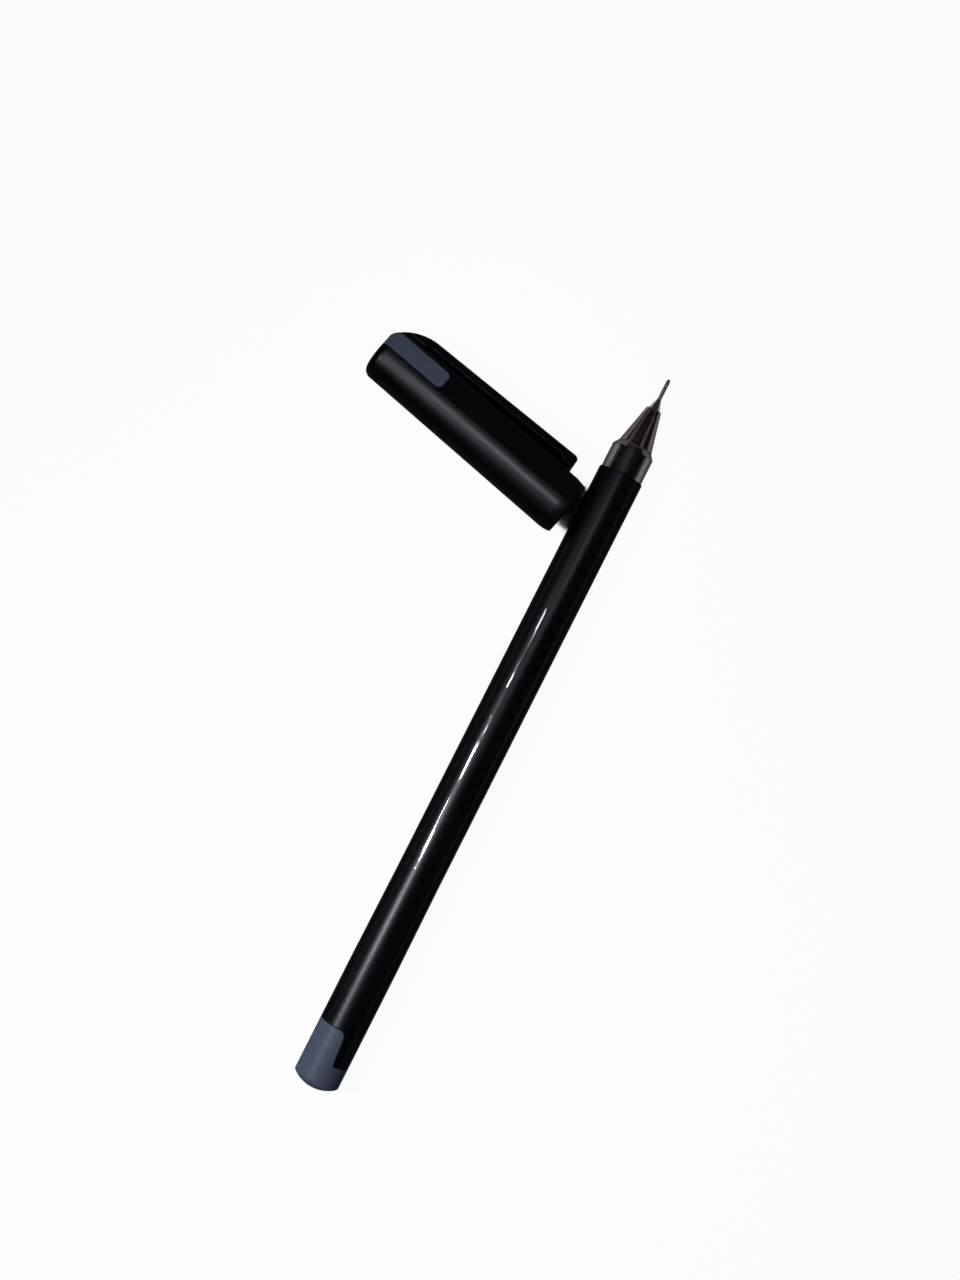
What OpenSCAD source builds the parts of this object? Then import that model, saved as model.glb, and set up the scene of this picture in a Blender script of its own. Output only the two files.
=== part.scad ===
// Slim stick ballpoint pen with a needle tip, lying beside its cap.
// The pen lies along +X, tip forward. The cap lies on a flat side at +Y, mouth to the barrel.
// All lengths are in millimetres and all angles in degrees.

/* [Barrel] */
// Outer diameter over most of the barrel
barrel_d = 8.3; // [7.9:0.05:8.5]
// Outer diameter of the slightly thicker tail
tail_d = 8.55; // [8.3:0.05:8.8]
// Length of the barrel from the plug's collar to the front rim
barrel_len = 115.7; // [95:0.1:130]
// Straight length of the thicker tail
tail_len = 19.6; // [14:0.1:30]
// Length over which the tail runs down to the barrel's diameter
tail_blend = 18; // [8:1:30]
// Wall thickness of the barrel
barrel_wall = 1; // [0.8:0.05:1.2]
// Chamfer on the front rim
rim_chamfer = 0.15; // [0.05:0.05:0.2]
// Diameter of the front neck that carries the nose
neck_d = 5.3; // [5:0.05:5.6]
// Wall of the barrel behind the neck
neck_floor = 3; // [2:0.1:5]

/* [Rear plug] */
// Length of the grey collar, with its rounded end
plug_collar = 5.5; // [4:0.1:8]
// Edge radius between the collar and the dome
plug_round = 0.5; // [0.3:0.1:0.8]
// Height of the dome on the end, before its edge is rounded
plug_dome = 1.6; // [1:0.1:2]
// Length of the plug inside the barrel
plug_reach = 9; // [8:0.5:16]
// Thickness of the plug's closed end
plug_floor = 3; // [2:0.1:3.4]
// Length of the tongue that is let into the barrel
tongue_len = 6.5; // [4:0.1:7.5]
// Corner radius of the tongue
tongue_round = 1.2; // [0.5:0.1:2]
// Length by which each edge of the tongue stands further out at its root than at its front
tongue_flare = 0.45; // [0.1:0.05:0.8]
// Corner radius at the root of the tongue
tongue_root = 0.6; // [0.3:0.1:1]
// Turn of the tongue's middle from the top toward the cap's side
tongue_turn = 76; // [0:1:180]

/* [Nose] */
// Diameter of the clear collar
collar_d = 7.8; // [7.4:0.05:8]
// Length of the clear collar
collar_len = 4.6; // [3.5:0.1:6]
// Length of the bevel from the collar to the cone
bevel_len = 1.05; // [0.6:0.05:1.6]
// Diameter of the cone at its base
cone_base_d = 6.3; // [6.1:0.05:6.8]
// Diameter of the cone at its front
cone_tip_d = 2.9; // [2.8:0.05:3.4]
// Length of the cone
cone_len = 7.35; // [6:0.05:9]
// Wall of the cone at its base
cone_wall = 0.55; // [0.5:0.05:0.8]
// Edge radius at the front of the cone
cone_round = 0.3; // [0.1:0.05:0.3]

/* [Refill and tip] */
// Outer diameter of the refill tube
refill_d = 3.1; // [2.8:0.05:3.4]
// Wall thickness of the refill tube
refill_wall = 0.35; // [0.25:0.05:0.45]
// Distance from the plug's collar to the refill's open end
refill_start = 4; // [1:0.5:6]
// Empty length of tube behind the follower
headroom = 14; // [4:1:40]
// Length of the grease follower
follower_len = 5; // [3:0.5:8]
// Length of the tip holder inside the refill tube
sleeve_len = 8; // [5:0.5:12]
// Diameter of the ink channel in the tip holder
channel_d = 0.8; // [0.6:0.05:1]
// Thickness of the tip holder's flange
flange_t = 0.5; // [0.3:0.05:0.8]
// Depth of the grooves between the tip holder's ribs
rib_depth = 0.3; // [0.15:0.05:0.35]
// Width of one rib
rib_w = 0.45; // [0.3:0.05:0.5]
// Number of ribs
rib_count = 6; // [4:1:8]
// Turn of the first rib from the top, away from the cap's side
rib_turn = 22; // [0:1:60]
// Diameter of the metal tip where it leaves the nose
head_d = 2.1; // [1.9:0.05:2.2]
// Length of the metal cone
head_len = 1.95; // [1.2:0.05:3]
// Diameter of the metal shank inside the holder
shank_d = 1.3; // [1.1:0.05:1.4]
// Length of the metal shank inside the holder
shank_len = 3; // [2.6:0.1:4]
// Outer diameter of the needle
needle_d = 0.72; // [0.66:0.02:0.8]
// Bore of the needle
needle_bore = 0.36; // [0.3:0.02:0.4]
// Length of needle in front of the metal cone
needle_out = 3.86; // [2:0.02:6]
// Length of needle inside the metal cone
needle_grip = 2.5; // [2:0.1:3.5]
// Diameter of the writing ball
ball_d = 0.5; // [0.46:0.01:0.54]
// Length by which the ball stands out of the needle
ball_out = 0.14; // [0.1:0.01:0.16]

/* [Cap] */
// Length of the cap
cap_len = 43.5; // [42.6:0.1:55]
// Diameter of the round back at the mouth
cap_mouth_d = 10.4; // [10.3:0.05:11.5]
// Diameter of the round back at the closed end
cap_top_d = 9.6; // [9.4:0.05:10.4]
// Edge radius of the closed end
cap_round = 1.6; // [0.8:0.1:1.8]
// Length of the drawn-in lip at the mouth
lip_len = 2.2; // [1.5:0.1:3]
// Depth by which the lip is drawn in
lip_drop = 0.4; // [0.2:0.05:0.45]
// Edge chamfer of the lip
lip_edge = 0.15; // [0.05:0.05:0.25]
// Tilt of each flat side toward the clip
side_tilt = 11; // [6:0.5:14]
// Depth by which the flat sides cut into the round back
side_cut = 0.09; // [0.05:0.01:0.15]
// Distance from the cap's axis to the front corners of its flat sides
side_front = 4.5; // [4.3:0.05:4.7]
// Length of the cap that covers the barrel
cap_cover = 21; // [15:0.5:21.5]
// Room beyond the writing tip in the closed cap
tip_room = 1.4; // [1:0.1:1.4]

/* [Clip] */
// Thickness of the clip
clip_t = 1.4; // [1:0.05:1.8]
// Slot under the clip at its root
slot_root = 0.6; // [0.5:0.05:1]
// Slot under the clip at its free end
slot_end = 1.1; // [1.05:0.05:1.6]
// Distance from the cap's mouth to the clip's free end
clip_start = 4.25; // [2:0.05:8]
// Length of the solid root at the closed end
root_len = 6; // [4:0.1:8]
// Radius of the round shoulder
shoulder_r = 9; // [8:0.1:12]
// Distance from the closed end to the start of the shoulder
shoulder_len = 7.6; // [6:0.1:7.6]
// Corner radius of the clip's free end
clip_round = 0.9; // [0.4:0.05:1]
// Height of the nub that holds cloth under the free end
nub_h = 0.8; // [0.4:0.05:0.95]
// Radius of the nub
nub_r = 1.5; // [1:0.1:2]

/* [Grey strap] */
// Width of the strap
strap_w = 3.65; // [2.5:0.05:3.8]
// Distance of the strap's back edge in front of the cap's axis
strap_back = 0.3; // [0.1:0.05:0.4]
// Length of each leg of the strap
strap_len = 13; // [8:0.5:20]
// Thickness of the strap
strap_t = 0.8; // [0.5:0.05:0.9]
// Corner radius at the end of a leg
strap_round = 1; // [0.4:0.1:1.2]
// Groove on each side of the strap
strap_groove = 0.12; // [0.04:0.02:0.2]

/* [Where the cap lies] */
// Heading of the cap from mouth to closed end, turned from the pen's direction
cap_heading = 76.2; // [60:0.1:90]
// Distance of the mouth's middle behind the barrel's front rim
mouth_back = 10; // [6:0.5:60]
// Gap between the mouth and the barrel
rest_gap = 0.3; // [0.2:0.05:2]

/* [Fits] */
// Radial gap between pieces that are pressed together
press_gap = 0.02; // [0.01:0.005:0.03]
// Radial gap of the refill in the barrel's neck
refill_gap = 0.15; // [0.1:0.05:0.3]
// Radial gap of the tip holder in the nose
holder_gap = 0.08; // [0.05:0.01:0.15]
// Radial gap of the writing ball in its socket
ball_gap = 0.02; // [0.01:0.005:0.025]
// Radial gap of the cap over the tail, where it is carried while writing
post_gap = 0.075; // [0.03:0.005:0.1]
// Radial gap of the cap over the clear collar
grip_gap = 0.04; // [0.02:0.005:0.06]
// Radial gap of the cap over the cone
cone_gap = 0.15; // [0.1:0.01:0.2]
// Seam round the tongue and under the strap
seam = 0.05; // [0.02:0.01:0.1]

/* [Hidden] */
$fn = 96;

// Radii
barrel_r = barrel_d / 2;
tail_r = tail_d / 2;
bore_r = barrel_r - barrel_wall;
neck_r = neck_d / 2;
collar_r = collar_d / 2;
cone_base_r = cone_base_d / 2;
cone_tip_r = cone_tip_d / 2;
refill_r = refill_d / 2;
ink_r = refill_r - refill_wall;
neck_bore_r = refill_r + refill_gap;
channel_r = channel_d / 2;
head_r = head_d / 2;
shank_r = shank_d / 2;
needle_r = needle_d / 2;
needle_bore_r = needle_bore / 2;
ball_r = ball_d / 2;
socket_r = ball_r + ball_gap;

// Stations along the pen, counted from the rear end
front_rim = plug_collar + barrel_len;
neck_set_back = 0.25;
neck_front = front_rim + collar_len + bevel_len - neck_set_back;
cone_start = front_rim + collar_len + bevel_len;
cone_front = cone_start + cone_len;
needle_start = cone_front + head_len;
needle_front = needle_start + needle_out;
pen_len = needle_front + ball_out;
ball_at = pen_len - ball_r;
refill_back = plug_collar + refill_start;
sleeve_back = neck_front - sleeve_len;
ink_back = refill_back + headroom + follower_len;
shank_back = cone_front - shank_len;
needle_back = needle_start - needle_grip;

// Hollow inside the nose: a cone with a short straight land at its front
land_len = 0.4;
hollow_back_r = cone_base_r - cone_wall;
hollow_front_r = head_r + holder_gap / 2;
hollow_front = cone_front - land_len;

// Taper of the cap and the planes of its flat sides
mouth_r = cap_mouth_d / 2;
top_r = cap_top_d / 2;
cap_draft = atan((mouth_r - top_r) / cap_len);
side_at_mouth = mouth_r - side_cut;
cap_bore_r = tail_r + post_gap;
grip_r = collar_r + grip_gap;
cone_bore_r = cone_base_r + cone_gap;
grip_end = cap_cover + collar_len + bevel_len;
cap_floor = cap_cover + pen_len - front_rim + tip_room;

// Clip: the outer face runs straight from the free end to the shoulder
shoulder_at = cap_len - shoulder_len;
root_at = cap_len - root_len;
clip_end_x = cap_r(clip_start) + slot_end + clip_t;
clip_root_x = cap_r(shoulder_at) + slot_root + clip_t;
clip_lean = atan((clip_end_x - clip_root_x) / (shoulder_at - clip_start));
shoulder_x = clip_root_x - shoulder_r * cos(clip_lean);
shoulder_z = shoulder_at - shoulder_r * sin(clip_lean);
pad_rise = 0.2;
pad_x = cap_r(root_at) + pad_rise;

// Place of the pen and of the cap, with the origin under the middle of the whole
mouth_x = front_rim - mouth_back;
mouth_y = barrel_r + rest_gap + mouth_r * cos(cap_heading);
cap_far_y = mouth_y + (cap_len - cap_round) * sin(cap_heading)
    + (top_r - cap_round) * cos(cap_heading) + cap_round;
origin_x = pen_len / 2;
origin_y = (cap_far_y - tail_r) / 2;

// Larger than the whole object, for cutting away one side of a plane
span = 2 * pen_len;

// Radius of the cap's round back at a height above its mouth
function cap_r(z) = mouth_r - (mouth_r - top_r) * z / cap_len;

// Distance from the cap's axis to the clip's outer face
function clip_out(z) = clip_root_x + (shoulder_at - z) * tan(clip_lean);

// Radius of the hollow inside the nose
function hollow_r(z) =
    hollow_back_r + (hollow_front_r - hollow_back_r) * (z - neck_front) / (hollow_front - neck_front);

// Points along an arc
function arc(x, y, r, from, to, steps = 10) =
    [for (i = [0:steps]) let (a = from + (to - from) * i / steps) [x + r * cos(a), y + r * sin(a)]];

// Lays a piece of the pen, built upright from its rear end, along +X
module lay_pen() {
    translate([-origin_x, -origin_y, tail_r]) rotate([0, 90, 0]) children();
}

// Lays a piece of the cap, built upright from its mouth with the clip at +X, on its flat side
module lay_cap() {
    translate([mouth_x - origin_x, mouth_y - origin_y, 0])
        rotate([0, 0, cap_heading])
            rotate([0, 90 + cap_draft, 0])
                translate([-side_at_mouth, 0, 0])
                    rotate([0, 0, side_tilt - 90])
                        children();
}

// Stands an outline of x and height up and thickens it both ways along Y
module thicken_y() {
    rotate([90, 0, 0]) linear_extrude(height = span, center = true) children();
}

// Space of the plug's tongue: about half of the round, with rounded corners in front and at its root
module tongue_space(gap) {
    front = plug_collar + tongue_len - gap;
    bite = 0.05;
    root_z = plug_collar + tongue_root - bite;
    rotate([0, 0, 180 - tongue_turn])
        thicken_y()
            polygon(concat(
                [[span, front], [span, 0], [-span, 0], [-span, plug_collar - bite - gap]],
                arc(-tongue_flare - tongue_root, root_z, tongue_root + gap, 270, 360),
                arc(gap + tongue_round, front - tongue_round, tongue_round, 180, 90)
            ));
}

module barrel() {
    taper = bore_r - neck_bore_r;
    color("#0c0d12") lay_pen() difference() {
        rotate_extrude() polygon([
            [bore_r, plug_collar],
            [tail_r, plug_collar],
            [tail_r, plug_collar + tail_len],
            [barrel_r, plug_collar + tail_len + tail_blend],
            [barrel_r, front_rim - rim_chamfer],
            [barrel_r - rim_chamfer, front_rim],
            [neck_r, front_rim],
            [neck_r, neck_front],
            [neck_bore_r, neck_front],
            [neck_bore_r, front_rim - neck_floor],
            [bore_r, front_rim - neck_floor - taper]
        ]);
        tongue_space(0);
    }
}

module rear_plug() {
    plug_r = bore_r - press_gap;
    hollow = refill_r + 2 * refill_gap;
    lead_in = 0.4;
    dome_r = (tail_r * tail_r + plug_dome * plug_dome) / (2 * plug_dome);
    edge_turn = asin((tail_r - plug_round) / (dome_r - plug_round));
    edge_z = dome_r - (dome_r - plug_round) * cos(edge_turn);
    color("#4c5668") lay_pen() difference() {
        union() {
            rotate_extrude() polygon(concat(
                [[0, plug_collar + plug_reach]],
                arc(0, dome_r, dome_r, 270, 269 + edge_turn),
                arc(tail_r - plug_round, edge_z, plug_round, 270 + edge_turn, 360),
                [
                    [tail_r, plug_collar],
                    [plug_r, plug_collar],
                    [plug_r, plug_collar + plug_reach - lead_in],
                    [plug_r - lead_in, plug_collar + plug_reach]
                ]
            ));
            intersection() {
                translate([0, 0, plug_collar - lead_in]) cylinder(r = tail_r, h = tongue_len + 2 * lead_in);
                tongue_space(seam);
            }
        }
        translate([0, 0, plug_floor]) cylinder(r = hollow, h = span);
    }
}

module nose_cone() {
    bore = neck_r + press_gap;
    color([0.55, 0.53, 0.52, 0.45]) lay_pen() rotate_extrude() polygon(concat(
        [
            [bore, front_rim],
            [collar_r, front_rim],
            [collar_r, front_rim + collar_len],
            [cone_base_r, cone_start]
        ],
        arc(cone_tip_r - cone_round, cone_front - cone_round, cone_round, 0, 90),
        [
            [hollow_front_r, cone_front],
            [hollow_front_r, hollow_front],
            [hollow_back_r, neck_front],
            [bore, neck_front]
        ]
    ));
}

module refill_tube() {
    color([0.85, 0.86, 0.88, 0.6]) lay_pen() difference() {
        translate([0, 0, refill_back]) cylinder(r = refill_r, h = neck_front - refill_back);
        cylinder(r = ink_r, h = span);
    }
}

module ink_column() {
    color("#15141c") lay_pen() {
        translate([0, 0, ink_back]) cylinder(r = ink_r - press_gap / 2, h = sleeve_back - ink_back);
        translate([0, 0, sleeve_back]) cylinder(r = channel_r - press_gap / 2, h = shank_back - sleeve_back);
    }
}

module ink_follower() {
    color("#d8c48a") lay_pen()
        translate([0, 0, ink_back - follower_len]) cylinder(r = ink_r - press_gap / 2, h = follower_len);
}

module tip_holder() {
    sleeve_r = ink_r - press_gap;
    flange_front = neck_front + flange_t;
    flange_r = hollow_r(flange_front) - 1.5 * holder_gap;
    color("#2a1d19") lay_pen() rotate([0, 0, rib_turn]) difference() {
        union() {
            translate([0, 0, sleeve_back]) cylinder(r = sleeve_r, h = sleeve_len + flange_t);
            translate([0, 0, neck_front]) cylinder(r = flange_r, h = flange_t);
            holder_cone(holder_gap + rib_depth);
            intersection() {
                holder_cone(holder_gap);
                for (i = [0:rib_count - 1]) rotate([0, 0, 360 * i / rib_count])
                    translate([0, -rib_w / 2, neck_front]) cube([hollow_back_r, rib_w, cone_len]);
            }
        }
        cylinder(r = channel_r, h = span);
        translate([0, 0, shank_back]) cylinder(r = shank_r + press_gap, h = span);
    }
}

// Cone that stays one gap inside the nose's hollow, from the neck to the metal tip
module holder_cone(gap) {
    rotate_extrude() polygon([
        [0, neck_front],
        [hollow_r(neck_front) - gap, neck_front],
        [hollow_r(hollow_front) - gap, hollow_front],
        [hollow_r(hollow_front) - gap, cone_front],
        [0, cone_front]
    ]);
}

module tip_cone() {
    head_front_r = needle_r + 2 * press_gap;
    color("#9a958c") lay_pen() difference() {
        union() {
            translate([0, 0, shank_back]) cylinder(r = shank_r, h = shank_len);
            translate([0, 0, cone_front]) cylinder(r1 = head_r, r2 = head_front_r, h = head_len);
        }
        cylinder(r = needle_bore_r, h = span);
        translate([0, 0, needle_back]) cylinder(r = needle_r + press_gap / 2, h = span);
    }
}

module needle_tube() {
    lip_r = ball_r + press_gap;
    crimp_len = 2 * ball_r;
    color("#8d8a86") lay_pen() difference() {
        union() {
            translate([0, 0, needle_back]) cylinder(r = needle_r, h = needle_front - crimp_len - needle_back);
            translate([0, 0, needle_front - crimp_len]) cylinder(r1 = needle_r, r2 = lip_r, h = crimp_len);
        }
        cylinder(r = needle_bore_r, h = ball_at);
        translate([0, 0, ball_at]) sphere(r = socket_r);
    }
}

module writing_ball() {
    color("#b9b6b0") lay_pen() translate([0, 0, ball_at]) sphere(r = ball_r);
}

// Half of the cap's outline, from the axis out: lip curved in, tapered wall, rounded closed end
module cap_half_outline() {
    lip_r = cap_r(lip_len) - lip_drop;
    lip_curve = (lip_len * lip_len + lip_drop * lip_drop) / (2 * lip_drop);
    lip_turn = asin((lip_len - lip_edge) / lip_curve);
    polygon(concat(
        [[0, cap_len], [0, 0], [lip_r - lip_edge, 0]],
        arc(cap_r(lip_len) - lip_curve, lip_len, lip_curve, -lip_turn, 0, 6),
        arc(cap_r(cap_len - cap_round) - cap_round, cap_len - cap_round, cap_round, 0, 90)
    ));
}

// Everything beyond the two flat sides of the cap, which lean toward the clip
module beyond_sides(depth = 0) {
    for (s = [-1, 1]) rotate([0, 0, s * (90 - side_tilt)])
        translate([side_at_mouth - depth, 0, 0])
            rotate([0, -cap_draft, 0])
                translate([0, -span, -span]) cube([span, 2 * span, 2 * span]);
}

// The cap without its clip, still solid
module cap_blank() {
    difference() {
        union() {
            rotate_extrude() cap_half_outline();
            intersection() {
                rotate([90, 0, 90]) linear_extrude(height = span) {
                    cap_half_outline();
                    mirror([1, 0]) cap_half_outline();
                }
                thicken_y() polygon(concat(
                    [[0, cap_len], [0, 0], [side_front - lip_drop, 0], [side_front, lip_len]],
                    [[side_front, root_at], [pad_x, root_at]],
                    shoulder_arc(acos((pad_x - shoulder_x) / shoulder_r), shoulder_top())
                ));
            }
        }
        beyond_sides();
    }
}

// Angle at which the round shoulder reaches the closed end
function shoulder_top() = asin((cap_len - shoulder_z) / shoulder_r);

// Points along the round shoulder between two angles
function shoulder_arc(from, to) = arc(shoulder_x, shoulder_z, shoulder_r, from, to, 20);

// Outline of the strap on a flat side
module strap_outline(gap) {
    foot = cap_len - strap_len + gap;
    left = strap_back + gap;
    right = strap_back + strap_w - gap;
    polygon(concat(
        [[right, span], [left, span]],
        arc(left + strap_round, foot + strap_round, strap_round, 180, 270),
        arc(right - strap_round, foot + strap_round, strap_round, 270, 360)
    ));
}

// Core of the cap that the strap is wrapped round
module strap_core(depth) {
    difference() {
        translate([-span, -span, cap_len - depth - span]) cube([2 * span, 2 * span, span]);
        beyond_sides(depth);
    }
}

module cap_shell() {
    color("#0b0c10") lay_cap() difference() {
        cap_blank();
        translate([0, 0, -span]) cylinder(r = cap_bore_r, h = span + cap_cover);
        cylinder(r = grip_r, h = grip_end);
        cylinder(r = cone_bore_r, h = cap_floor);
        difference() {
            thicken_y() strap_outline(0);
            strap_core(strap_t);
        }
    }
}

module cap_clip() {
    inner_end_x = clip_end_x - clip_t;
    nub_z = clip_start + nub_r;
    color("#0b0c10") lay_cap() difference() {
        thicken_y() {
            polygon(concat(
                [
                    [pad_x, root_at],
                    [clip_out(root_at) - clip_t, root_at],
                    [inner_end_x, clip_start + clip_round]
                ],
                arc(inner_end_x + clip_t - clip_round, clip_start + clip_round, clip_round, 270, 360),
                shoulder_arc(clip_lean, acos((pad_x - shoulder_x) / shoulder_r))
            ));
            intersection() {
                translate([inner_end_x - nub_h + nub_r, nub_z]) circle(r = nub_r);
                translate([0, clip_start]) square([clip_out(nub_z) - clip_t / 2, 2 * nub_r]);
            }
        }
        beyond_sides();
    }
}

module cap_insert() {
    color("#414a5b") lay_cap() difference() {
        intersection() {
            cap_blank();
            thicken_y() strap_outline(strap_groove);
        }
        strap_core(strap_t - seam);
    }
}

barrel();
rear_plug();
nose_cone();
refill_tube();
ink_column();
ink_follower();
tip_holder();
tip_cone();
needle_tube();
writing_ball();
cap_shell();
cap_clip();
cap_insert();
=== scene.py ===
# %% [markdown]
# # A stick ballpoint pen beside its cap
# The solids of this pen were made in CAD and packed as a fixed frame, in metres, with the pen lying
# along X. The first thing a dressing script does is load that frame. Every CAD piece keeps its place, so
# this lesson never moves one: it gives each piece its finish, adds what is too thin for CAD, and sets up
# the picture.

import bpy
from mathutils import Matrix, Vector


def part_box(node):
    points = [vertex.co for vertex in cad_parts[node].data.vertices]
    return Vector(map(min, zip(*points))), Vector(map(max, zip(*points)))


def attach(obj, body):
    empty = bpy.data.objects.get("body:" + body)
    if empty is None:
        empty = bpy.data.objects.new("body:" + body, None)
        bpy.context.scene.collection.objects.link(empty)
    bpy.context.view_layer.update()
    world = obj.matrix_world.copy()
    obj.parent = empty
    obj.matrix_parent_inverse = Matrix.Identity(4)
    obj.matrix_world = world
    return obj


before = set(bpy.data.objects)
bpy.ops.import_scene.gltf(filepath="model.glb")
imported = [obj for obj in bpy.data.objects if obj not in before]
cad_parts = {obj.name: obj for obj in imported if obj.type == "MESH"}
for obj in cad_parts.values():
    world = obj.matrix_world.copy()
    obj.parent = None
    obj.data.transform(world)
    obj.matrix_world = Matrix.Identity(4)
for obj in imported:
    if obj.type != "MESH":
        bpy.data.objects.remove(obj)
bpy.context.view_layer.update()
print("pieces:", sorted(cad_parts))

# %% [markdown]
# ## Where the pen's axis lies
# A pen is turned round one line, and most of its marks follow that line: the sheen of the drawn needle,
# the rings on the turned tip, the foil lines on the barrel. The line could be written down as numbers, but
# it is safer to measure it on the barrel's own box, because then it stays right if the CAD model changes.

# %% Measure the axis
MM = 0.001
barrel_low, barrel_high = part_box("barrel")
axis_y = (barrel_low.y + barrel_high.y) / 2
axis_z = (barrel_low.z + barrel_high.z) / 2
rear_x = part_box("rear_plug")[0].x
print("axis in mm: y %.3f, z %.3f, rear end x %.3f" % (axis_y / MM, axis_z / MM, rear_x / MM))

# %% [markdown]
# ## Arithmetic on sockets
# A shader is a network of small sums, and drawing it one node at a time hides what is being worked out.
# This class wraps a node's output socket. Adding or multiplying two of them adds the Math node that does
# it, and the reflected forms make 1 - mask work too, so the finishes below read like formulas.

# %% A socket that can be used in a formula
class Wire:
    def __init__(self, finish, socket):
        self.finish = finish
        self.socket = socket

    def combine(self, operation, first, second):
        return self.finish.add("ShaderNodeMath", {"operation": operation}, {0: first, 1: second})

    def __add__(self, other):
        return self.combine("ADD", self, other)

    def __radd__(self, other):
        return self.combine("ADD", other, self)

    def __sub__(self, other):
        return self.combine("SUBTRACT", self, other)

    def __rsub__(self, other):
        return self.combine("SUBTRACT", other, self)

    def __mul__(self, other):
        return self.combine("MULTIPLY", self, other)

    def __rmul__(self, other):
        return self.combine("MULTIPLY", other, self)


print("sums that a wire knows:", [n for n in vars(Wire) if n.startswith("__") and n != "__init__"])

# %% [markdown]
# ## One finish, one method for its nodes
# Every other node is made by a single method: it takes the node's type, then its settings, because a
# setting such as an operation decides which sockets exist, then the values or wires of its sockets. Colours
# and vectors have their own Mix and Vector Math nodes, since a Math node would turn them grey, and the
# helpers here are short names for those.

# %% A finish and its nodes
import bpy


def pick(sockets, key):
    shown = [s for s in sockets if s.enabled]
    if isinstance(key, int):
        return shown[key]
    return next(s for s in shown if s.name == key)


class Finish:
    def __init__(self, name):
        self.material = bpy.data.materials.new(name)
        self.material.use_nodes = True
        self.tree = self.material.node_tree
        self.tree.nodes.clear()

    def add(self, kind, settings=None, values=None, out=0):
        node = self.tree.nodes.new(kind)
        for key, value in (settings or {}).items():
            setattr(node, key, value)
        for key, value in (values or {}).items():
            socket = pick(node.inputs, key)
            if isinstance(value, Wire):
                self.tree.links.new(value.socket, socket)
            else:
                socket.default_value = value
        return Wire(self, pick(node.outputs, out)) if node.outputs else None

    def millimetres(self):
        spot = self.add("ShaderNodeTexCoord", out="Object")
        return self.add("ShaderNodeVectorMath", {"operation": "SCALE"}, {0: spot, "Scale": 1 / MM})

    def stretch(self, vector, factors):
        return self.add("ShaderNodeVectorMath", {"operation": "MULTIPLY"}, {0: vector, 1: factors})

    def noise(self, vector, scale, detail):
        return self.add("ShaderNodeTexNoise", None, {"Vector": vector, "Scale": scale, "Detail": detail})

    def rise(self, value, start, end):
        return self.add(
            "ShaderNodeMapRange",
            {"interpolation_type": "SMOOTHSTEP"},
            {"Value": value, "From Min": start, "From Max": end},
        )

    def mix(self, factor, first, second):
        return self.add("ShaderNodeMix", {"data_type": "RGBA"}, {"Factor": factor, "A": first, "B": second})

    def bump(self, height, depth_mm, strength, normal=None):
        values = {"Strength": strength, "Distance": depth_mm * MM, "Height": height}
        if normal is not None:
            values["Normal"] = normal
        return self.add("ShaderNodeBump", None, values)

    def close(self, shader):
        self.add("ShaderNodeOutputMaterial", None, {"Surface": shader})
        print("finish:", self.material.name, "with", len(self.tree.nodes), "nodes")
        return self.material


def rgb(red, green, blue):
    return (red, green, blue, 1.0)


def wear(names, material):
    for name in names:
        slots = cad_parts[name].data.materials
        slots.clear()
        slots.append(material)


print("a finish can:", [n for n in vars(Finish) if not n.startswith("_")])

# %% [markdown]
# ## Moulded satin plastic
# The barrel, the cap and the grey pieces are injection moulded, from a mould with a fine spark-eroded
# surface. That leaves a low grain which breaks the highlight up, a little cloudiness in the colour, and in
# use some scuffs run along the piece. The grain could be real geometry, but at a few hundredths of a
# millimetre a bump is truer and lighter. Sharp moulded edges are never quite sharp, so a Bevel node rounds
# the shading there before the grain is put on top. Such a grain also hides most of the mirror that smooth
# plastic turns into at a flat angle, so the gloss fades into plain dull colour toward the outline.

# %% A function for every moulded piece
edge_radius = 0.18 * MM
dull_share = 0.95


def moulded_plastic(name, dark, light, roughness, scuff_stretch, specular, dull_at=(0.15, 0.42)):
    finish = Finish(name)
    mm = finish.millimetres()
    cloud = finish.noise(mm, scale=0.15, detail=3.0)
    grain = finish.noise(mm, scale=3.2, detail=3.0)
    streaks = finish.noise(finish.stretch(mm, scuff_stretch), scale=1.0, detail=2.0)
    scuffs = finish.rise(streaks, 0.62, 0.78) * finish.rise(cloud, 0.42, 0.62)
    tone = finish.rise(cloud * 0.6 + grain * 0.4, 0.3, 0.7)
    colour = finish.mix(scuffs * 0.35 + tone * 0.65, dark, light)
    shine = roughness - 0.06 + cloud * 0.05 + grain * 0.07 + scuffs * 0.06
    edges = finish.add("ShaderNodeBevel", {"samples": 6}, {"Radius": edge_radius})
    normal = finish.bump(grain, depth_mm=0.02, strength=0.18, normal=edges)
    satin = finish.add(
        "ShaderNodeBsdfPrincipled",
        None,
        {"Base Color": colour, "Roughness": shine, "Normal": normal, "Specular IOR Level": specular},
    )
    dull = finish.add(
        "ShaderNodeBsdfPrincipled",
        None,
        {"Base Color": colour, "Roughness": 1.0, "Normal": normal, "Specular IOR Level": 0.0},
    )
    slant = finish.add("ShaderNodeLayerWeight", None, {"Blend": 0.5}, out="Facing")
    fade = finish.rise(slant, dull_at[0], dull_at[1]) * dull_share
    return finish.close(finish.add("ShaderNodeMixShader", None, {"Fac": fade, 1: satin, 2: dull}))


print("ready to mould the black and the grey pieces")

# %% [markdown]
# ## Black for the barrel and the cap
# Both are the same black, which is a very dark blue grey under the lamp. The scuffs run lengthwise, so the
# noise behind them is stretched along the piece: along X for the pen, and along Y for the cap, which lies
# nearly across it. The cap is handled more, so it is a little duller and loses its gloss sooner toward the
# outline.

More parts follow.
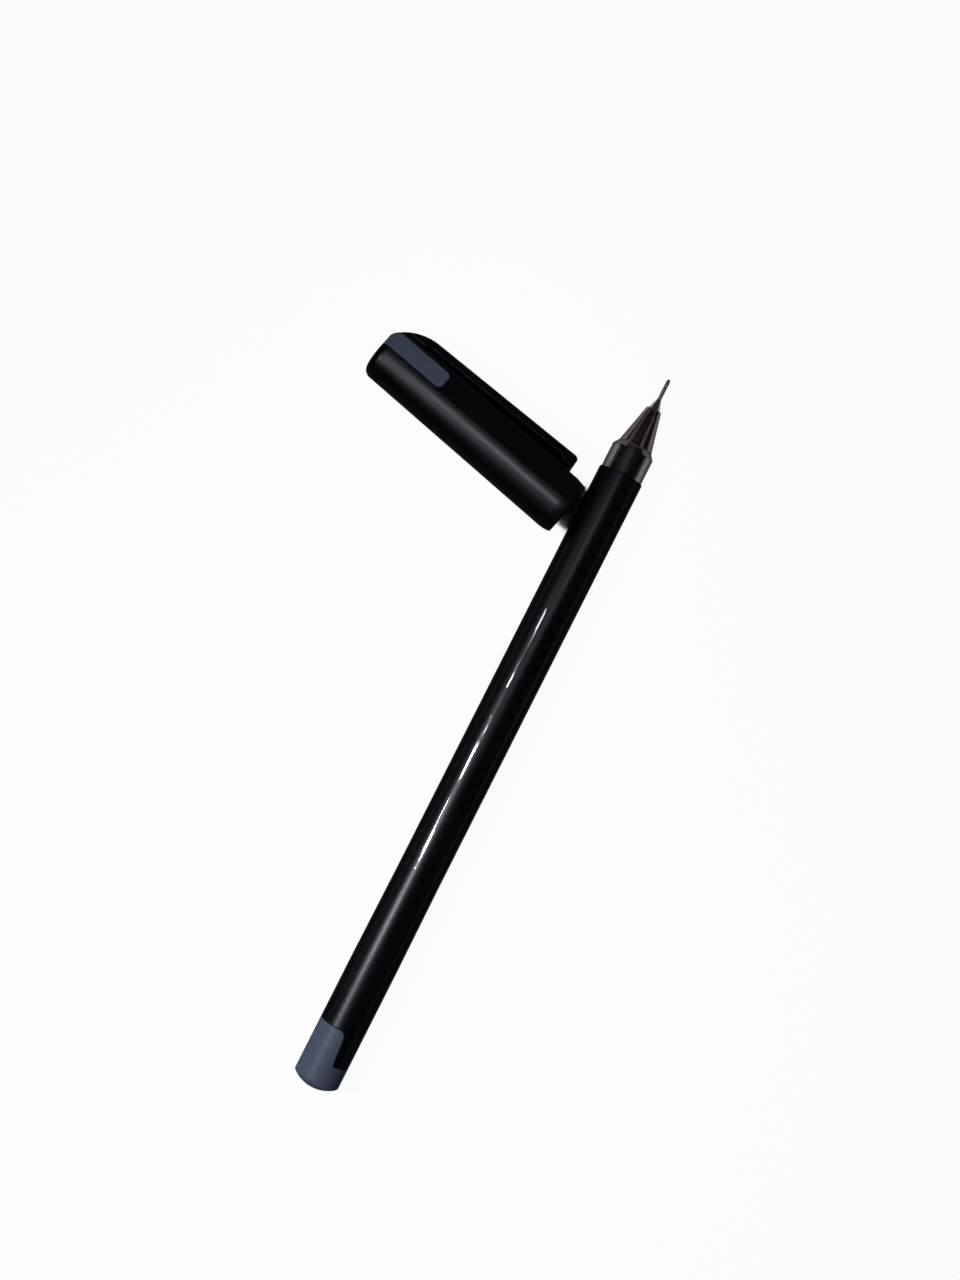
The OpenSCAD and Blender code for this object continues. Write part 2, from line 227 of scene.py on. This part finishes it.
# %% Dress the black pieces
black_dark = rgb(0.0009, 0.0010, 0.0018)
black_light = rgb(0.0026, 0.0028, 0.0042)
barrel_black = moulded_plastic(
    "black_satin_barrel",
    black_dark,
    black_light,
    roughness=0.33,
    scuff_stretch=(0.05, 2.2, 2.2),
    specular=0.19,
)
cap_black = moulded_plastic(
    "black_satin_cap",
    black_dark,
    black_light,
    roughness=0.35,
    scuff_stretch=(1.6, 0.06, 1.6),
    specular=0.29,
    dull_at=(0.08, 0.26),
)
wear(["barrel"], barrel_black)
wear(["cap_shell", "cap_clip"], cap_black)

# %% [markdown]
# ## Blue grey for the plug and the strap
# The end plug and the strap on the cap are the one accent colour of this pen. The strap is let into the cap
# and catches less light than the plug, so it is written a little lighter to look like the same grey.

# %% Dress the grey pieces
plug_grey = moulded_plastic(
    "blue_grey_plug",
    rgb(0.062, 0.076, 0.104),
    rgb(0.076, 0.092, 0.125),
    roughness=0.42,
    scuff_stretch=(0.08, 2.0, 2.0),
    specular=0.11,
)
strap_grey = moulded_plastic(
    "blue_grey_strap",
    rgb(0.074, 0.087, 0.127),
    rgb(0.091, 0.107, 0.151),
    roughness=0.44,
    scuff_stretch=(1.6, 0.08, 1.6),
    specular=0.15,
)
wear(["rear_plug"], plug_grey)
wear(["cap_insert"], strap_grey)

# %% [markdown]
# ## The clear nose
# The nose is a smoky, polished, see-through moulding. Glass shading bends the view of what is inside, and
# the smoke grows deeper toward the outline, where the view runs a longer way through the wall: that is
# painted by the Layer Weight. A worn outline mirrors less than new glass, so there the glass gives way to
# plain refraction. The edge of the step before the cone gets a painted highlight: a narrow pale band.
# Cycles lets no lamp straight through glass, which would leave the inside black, so for shadow rays the
# piece is a tinted skin.

# %% Dress the nose
clear_ior = 1.49
step_at_mm = barrel_high.x / MM
bent_share = 0.8
step_highlight_share = 0.5


def clear_smoke():
    finish = Finish("clear_smoky_nose")
    mm = finish.millimetres()
    along = finish.add("ShaderNodeSeparateXYZ", None, {0: mm}, out="X") - step_at_mm
    fine_lines = finish.noise(finish.stretch(mm, (0.4, 5.0, 5.0)), scale=1.0, detail=2.0)
    scratches = finish.rise(fine_lines, 0.6, 0.75)
    slant = finish.add("ShaderNodeLayerWeight", None, {"Blend": 0.5}, out="Facing")
    deep = rgb(0.034, 0.031, 0.029)
    tint = finish.mix(finish.rise(slant, 0.02, 0.34), rgb(0.40, 0.34, 0.31), deep)
    glass = finish.add(
        "ShaderNodeBsdfPrincipled",
        None,
        {
            "Base Color": tint,
            "Roughness": 0.04 + scratches * 0.08,
            "Transmission Weight": 1.0,
            "IOR": clear_ior,
            "Coat Weight": 0.25,
            "Coat Roughness": 0.35,
        },
    )
    bent = finish.add(
        "ShaderNodeBsdfRefraction", None, {"Color": deep, "Roughness": 0.06, "IOR": clear_ior}
    )
    # painted highlight: a pale diffuse band laid on the edge of the step before the cone, placed by the
    # distance along X
    pale_step_highlight = finish.add("ShaderNodeBsdfDiffuse", None, {"Color": rgb(0.16, 0.15, 0.14)})
    outline = finish.rise(slant, 0.35, 0.65) * bent_share
    painted_step_highlight = finish.rise(along, -0.15, 0.0) * (1 - finish.rise(along, 0.15, 0.3)) * step_highlight_share
    clear = finish.add("ShaderNodeMixShader", None, {"Fac": outline, 1: glass, 2: bent})
    moulded = finish.add("ShaderNodeMixShader", None, {"Fac": painted_step_highlight, 1: clear, 2: pale_step_highlight})
    skin = finish.add("ShaderNodeBsdfTransparent", None, {"Color": rgb(0.86, 0.83, 0.81)})
    shadow = finish.add("ShaderNodeLightPath", out="Is Shadow Ray")
    return finish.close(finish.add("ShaderNodeMixShader", None, {"Fac": shadow, 1: moulded, 2: skin}))


wear(["nose_cone"], clear_smoke())

# %% [markdown]
# ## The ribbed holder inside
# A dark brown holder sits in the hollow cone and grips the metal tip. The thin bright streaks along its six
# ribs are a painted highlight: the rib tops are painted pale, placed by the angle round the pen's axis,
# since six ribs make the cosine of six times the angle largest on a rib. The first rib is turned a little
# away from the top, so that angle is added first.

# %% Dress the holder
import math

rib_count = 6.0
rib_turn = math.radians(22)


def angle_round_pen(finish, mm):
    across = finish.add("ShaderNodeSeparateXYZ", None, {0: mm}, out="Y") - axis_y / MM
    up = finish.add("ShaderNodeSeparateXYZ", None, {0: mm}, out="Z") - axis_z / MM
    return finish.add("ShaderNodeMath", {"operation": "ARCTAN2"}, {0: across, 1: up})


def ribbed_holder():
    finish = Finish("dark_brown_holder")
    mm = finish.millimetres()
    turn = angle_round_pen(finish, mm)
    wave = finish.add("ShaderNodeMath", {"operation": "COSINE"}, {0: (turn + rib_turn) * rib_count})
    # painted highlight: the pale rib tops stand in for the glint along each rib
    painted_rib_highlights = finish.rise(wave, 0.55, 0.9)
    cloud = finish.noise(mm, scale=1.2, detail=3.0)
    shade = finish.mix(cloud, rgb(0.024, 0.013, 0.012), rgb(0.050, 0.030, 0.027))
    shader = finish.add(
        "ShaderNodeBsdfPrincipled",
        None,
        {
            "Base Color": finish.mix(painted_rib_highlights, shade, rgb(0.60, 0.53, 0.49)),
            "Roughness": 0.34 + cloud * 0.1,
            "Normal": finish.bump(cloud, depth_mm=0.02, strength=0.2),
        },
    )
    return finish.close(shader)


wear(["tip_holder"], ribbed_holder())

# %% [markdown]
# ## Turned and drawn metal
# The small cone is turned on a lathe, which leaves rings across it, and the needle is a drawn tube, which
# leaves lines along it. Both are the same trick with the axes exchanged: a noise squeezed along X gives
# rings, and a noise stretched along X gives lines. It drives the colour, the roughness and a faint bump.
# Fine grooves shade each other at a flat angle, so the Specular Tint, which a metal uses there, is dark.

# %% Dress the tip, the needle and the ball
def worked_metal(name, dark, light, roughness, squeeze):
    finish = Finish(name)
    mm = finish.millimetres()
    lines = finish.noise(finish.stretch(mm, squeeze), scale=1.0, detail=3.0)
    stain = finish.noise(mm, scale=1.4, detail=2.0)
    shader = finish.add(
        "ShaderNodeBsdfPrincipled",
        None,
        {
            "Base Color": finish.mix(lines * 0.6 + stain * 0.4, dark, light),
            "Metallic": 1.0,
            "Specular Tint": rgb(0.25, 0.24, 0.23),
            "Roughness": roughness - 0.06 + lines * 0.12,
            "Normal": finish.bump(lines, depth_mm=0.006, strength=0.15),
        },
    )
    return finish.close(shader)


turned_tip = worked_metal(
    "turned_tip", rgb(0.27, 0.25, 0.235), rgb(0.45, 0.425, 0.40), roughness=0.34, squeeze=(14, 0.6, 0.6)
)
drawn_needle = worked_metal(
    "drawn_needle", rgb(0.20, 0.19, 0.185), rgb(0.36, 0.345, 0.335), roughness=0.36, squeeze=(0.25, 3, 3)
)
polished_ball = worked_metal(
    "polished_ball", rgb(0.40, 0.40, 0.41), rgb(0.52, 0.52, 0.53), roughness=0.2, squeeze=(6, 6, 6)
)
wear(["tip_cone"], turned_tip)
wear(["needle_tube"], drawn_needle)
wear(["writing_ball"], polished_ball)

# %% [markdown]
# ## The refill
# The refill hides in the barrel. It still gets its real finishes: a milky tube, a nearly full column of
# black ink with a wet gloss, and a pale plug of grease behind it that keeps the ink from running back.

# %% Dress the refill
def milky_tube():
    finish = Finish("milky_refill_tube")
    mm = finish.millimetres()
    drawn = finish.noise(finish.stretch(mm, (0.1, 3.0, 3.0)), scale=1.0, detail=2.0)
    shader = finish.add(
        "ShaderNodeBsdfPrincipled",
        None,
        {
            "Base Color": finish.mix(drawn, rgb(0.70, 0.72, 0.74), rgb(0.84, 0.85, 0.87)),
            "Roughness": 0.3 + drawn * 0.1,
            "Transmission Weight": 0.6,
            "IOR": 1.5,
        },
    )
    return finish.close(shader)


def wet_filling(name, dark, light, roughness):
    finish = Finish(name)
    swirl = finish.noise(finish.millimetres(), scale=0.6, detail=3.0)
    shader = finish.add(
        "ShaderNodeBsdfPrincipled",
        None,
        {
            "Base Color": finish.mix(swirl, dark, light),
            "Roughness": roughness + swirl * 0.08,
            "Normal": finish.bump(swirl, depth_mm=0.02, strength=0.15),
        },
    )
    return finish.close(shader)


black_ink = wet_filling("black_ink", rgb(0.004, 0.004, 0.007), rgb(0.010, 0.009, 0.015), roughness=0.12)
pale_grease = wet_filling("pale_grease", rgb(0.55, 0.46, 0.25), rgb(0.72, 0.63, 0.38), roughness=0.25)
wear(["refill_tube"], milky_tube())
wear(["ink_column"], black_ink)
wear(["ink_follower"], pale_grease)

# %% [markdown]
# ## Worn silver foil
# Hot-stamped foil is a mirror a few thousandths of a millimetre thick. It flashes white where it meets the
# highlight and stays dark beside it, and a hand rubs it off in patches. Image textures are often used for
# such wear, but a noise with a steep rise gives the same torn edge at any distance: above it there is foil,
# below it the black of the barrel shows.

# %% A finish for the foil
def worn_foil():
    finish = Finish("worn_silver_foil")
    mm = finish.millimetres()
    patches = finish.noise(finish.stretch(mm, (0.14, 1.6, 1.6)), scale=1.0, detail=3.0)
    left = finish.rise(patches, 0.40, 0.52)
    crinkle = finish.noise(mm, scale=4.0, detail=2.0)
    shader = finish.add(
        "ShaderNodeBsdfPrincipled",
        None,
        {
            "Base Color": finish.mix(left, rgb(0.010, 0.010, 0.012), rgb(0.46, 0.46, 0.48)),
            "Metallic": left,
            "Roughness": 0.44 - left * 0.1 + crinkle * 0.08,
            "Normal": finish.bump(crinkle, depth_mm=0.01, strength=0.3),
        },
    )
    return finish.close(shader)


foil_finish = worn_foil()

# %% [markdown]
# ## Foil lines on the barrel
# The foil is a plain trim of two fine lines along the barrel, a long one and a short one before it. Such a
# film is too thin for CAD, so it is built here. Each line is a closed strip bent to the barrel, sunk a hair
# into it and standing a hair out of it: one function bends a point, the strip is a grid of such points
# outside and inside, and a loop round the rim closes it. The barrel's box is as wide as its tail, which is
# a little thicker than the part with the foil, so that is taken off first.

# %% Build the foil lines
import bmesh

tail_extra = 0.125 * MM
barrel_r = (barrel_high.y - barrel_low.y) / 2 - tail_extra
foil_out = barrel_r + 0.012 * MM
foil_in = barrel_r - 0.02 * MM
AROUND = 4
ALONG = 8


def on_barrel(along_mm, turn, radius):
    return (rear_x + along_mm * MM, axis_y + radius * math.sin(turn), axis_z + radius * math.cos(turn))


def add_line(shape, start_mm, end_mm, middle_mm, half_width_mm):
    middle = math.asin(middle_mm * MM / barrel_r)
    half_turn = half_width_mm * MM / barrel_r
    turns = [middle + half_turn * (2 * j / AROUND - 1) for j in range(AROUND + 1)]
    layers = []
    for radius in (foil_out, foil_in):
        rows = []
        for i in range(ALONG + 1):
            along = start_mm + (end_mm - start_mm) * i / ALONG
            rows.append([shape.verts.new(on_barrel(along, turn, radius)) for turn in turns])
        layers.append(rows)
    top, under = layers
    for i in range(ALONG):
        for j in range(AROUND):
            shape.faces.new((top[i][j], top[i + 1][j], top[i + 1][j + 1], top[i][j + 1]))
            shape.faces.new((under[i][j], under[i][j + 1], under[i + 1][j + 1], under[i + 1][j]))
    rim = [(0, j) for j in range(AROUND)] + [(i, AROUND) for i in range(ALONG)]
    rim += [(ALONG, j) for j in range(AROUND, 0, -1)] + [(i, 0) for i in range(ALONG, 0, -1)]
    for (i0, j0), (i1, j1) in zip(rim, rim[1:] + rim[:1]):
        shape.faces.new((top[i0][j0], top[i1][j1], under[i1][j1], under[i0][j0]))


foil_shape = bmesh.new()
add_line(foil_shape, start_mm=43.0, end_mm=73.0, middle_mm=1.35, half_width_mm=0.18)
add_line(foil_shape, start_mm=78.6, end_mm=94.0, middle_mm=1.20, half_width_mm=0.14)
bmesh.ops.recalc_face_normals(foil_shape, faces=foil_shape.faces)
foil_mesh = bpy.data.meshes.new("foil_lines")
foil_shape.to_mesh(foil_mesh)
foil_shape.free()
foil_mesh.materials.append(foil_finish)
foil = bpy.data.objects.new("foil_lines", foil_mesh)
bpy.context.scene.collection.objects.link(foil)
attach(foil, "pen")
print("foil faces:", len(foil_mesh.polygons))

# %% [markdown]
# ## The floor
# The pen lies on plain white. A floor bright enough to look white would also flood a black object with
# light, so the floor has two faces: rays from the camera, or seen in gloss or through the clear nose, find
# it nearly white, while to every other ray it is an ordinary pale surface. A part of what the camera sees
# is still lit by the lamps, which keeps the soft shadow. A glowing floor would also shine out from under
# the pen, so an Ambient Occlusion node darkens it where the pen and its cap all but cover it. The narrow
# gap between the cap's mouth and the barrel lies between two black walls and gets less light still, so
# there the cover counts for more. That stops at the barrel's side, so that no dark patch stays under the
# barrel when the cap is lifted away.

# %% A finish for the floor
cover_reach = 50 * MM
gap_mm = (42.5, -17.4, 0.0)
gap_share = 0.22
barrel_side_mm = barrel_high.y / MM
glow_share = 0.95


def white_floor():
    finish = Finish("white_floor")
    mm = finish.millimetres()
    paper = finish.noise(mm, scale=0.02, detail=2.0)
    pale = finish.mix(paper, rgb(0.78, 0.78, 0.78), rgb(0.80, 0.80, 0.80))
    cover = finish.add("ShaderNodeAmbientOcclusion", {"samples": 16}, {"Distance": cover_reach}, out="AO")
    away = finish.add("ShaderNodeVectorMath", {"operation": "DISTANCE"}, {0: mm, 1: gap_mm}, out="Value")
    beside = finish.add("ShaderNodeSeparateXYZ", None, {0: mm}, out="Y") - barrel_side_mm
    gap = (1 - finish.rise(away, 3.2, 4.8)) * finish.rise(beside, -0.5, -0.1)
    open_part = finish.rise(cover - gap * gap_share, 0.12, 0.25)
    shaded = finish.mix(open_part, rgb(0.02, 0.02, 0.02), pale)
    plain = finish.add(
        "ShaderNodeBsdfPrincipled",
        None,
        {"Base Color": shaded, "Roughness": 1.0, "Specular IOR Level": 0.0},
    )
    glow = finish.add("ShaderNodeEmission", None, {"Color": rgb(1, 1, 1), "Strength": 1.0})
    shown = finish.add("ShaderNodeMixShader", None, {"Fac": open_part * glow_share, 1: plain, 2: glow})
    camera = finish.add("ShaderNodeLightPath", out="Is Camera Ray")
    gloss = finish.add("ShaderNodeLightPath", out="Is Glossy Ray")
    through = finish.add("ShaderNodeLightPath", out="Is Transmission Ray")
    seen = finish.add(
        "ShaderNodeMath", {"operation": "ADD", "use_clamp": True}, {0: camera + gloss, 1: through}
    )
    return finish.close(finish.add("ShaderNodeMixShader", None, {"Fac": seen, 1: plain, 2: shown}))


floor_finish = white_floor()

# %% [markdown]
# ## Laying the floor
# The floor itself is one large square at the height of the table. It belongs to the picture and not to the
# pen, so it is given to the stage, which keeps it out of the part.

# %% Lay the floor
floor_reach = 3.0
floor_corners = [(x * floor_reach, y * floor_reach, 0.0) for x, y in ((-1, -1), (1, -1), (1, 1), (-1, 1))]
floor_mesh = bpy.data.meshes.new("floor")
floor_mesh.from_pydata(floor_corners, [], [(0, 1, 2, 3)])
floor_mesh.materials.append(floor_finish)
floor = bpy.data.objects.new("floor", floor_mesh)
bpy.context.scene.collection.objects.link(floor)
print("floor half width in m:", floor_reach)

# %% [markdown]
# ## Lamps
# Black plastic shows its form almost only by reflections, so the lamps are placed by their mirror images.
# A small lamp beside the rear of the pen draws the thin highlight along the barrel, and a weaker soft box
# over the space between pen and cap draws the broad, dim one on the cap's back. The rest of the room stays
# dark.

# %% Hang the lamps
from mathutils import Vector

cool_white = (0.93, 0.97, 1.08)


def lamp(name, place, aim, side, watts, spread):
    light = bpy.data.lights.new(name, "AREA")
    light.shape = "RECTANGLE"
    light.size = side
    light.size_y = side
    light.energy = watts
    light.color = cool_white
    light.spread = math.radians(spread)
    holder = bpy.data.objects.new(name, light)
    holder.location = place
    look = (Vector(aim) - Vector(place)).to_track_quat("-Z", "Y")
    holder.rotation_euler = look.to_euler()
    bpy.context.scene.collection.objects.link(holder)
    print("lamp:", name, "watts", watts)


lamp(
    "lamp_by_the_barrel",
    place=(-0.070, 0.174, 0.30),
    aim=(-0.050, -0.022, 0.004),
    side=0.05,
    watts=0.090,
    spread=52,
)
lamp(
    "soft_box_by_the_cap",
    place=(0.022, 0.020, 0.30),
    aim=(0.053, 0.009, 0.004),
    side=0.06,
    watts=0.0052,
    spread=22,
)

world = bpy.data.worlds.new("dim_room")
world.use_nodes = True
room = world.node_tree.nodes["Background"]
room.inputs["Color"].default_value = rgb(1, 1, 1)
room.inputs["Strength"].default_value = 0.03
bpy.context.scene.world = world

# %% [markdown]
# ## The camera
# The picture was taken straight down, with the pen running up and to the right. The camera hangs over the
# middle of the picture, turned about the vertical. Its height is set from the scale of the picture: how
# many millimetres of table the long side covers, and the lens that is to cover them.

# %% Set the camera
picture_px = (960, 1280)
px_per_mm = 5.65
picture_middle = (0.013825, -0.01310)
picture_turn = math.radians(-63.2)
lens_mm = 56.25
sensor_mm = 36.0
table_mm = picture_px[1] / px_per_mm
camera_height = table_mm * lens_mm / sensor_mm * MM + axis_z
camera_data = bpy.data.cameras.new("overhead")
camera_data.lens = lens_mm
camera_data.sensor_width = sensor_mm
camera = bpy.data.objects.new("overhead", camera_data)
camera.location = (picture_middle[0], picture_middle[1], camera_height)
camera.rotation_euler = (0.0, 0.0, picture_turn)
bpy.context.scene.collection.objects.link(camera)
bpy.context.scene.camera = camera
bpy.context.scene.view_settings.view_transform = "Standard"
print("camera height in mm: %.1f, long side of the picture in mm: %.1f" % (camera_height / MM, table_mm))

# %% [markdown]
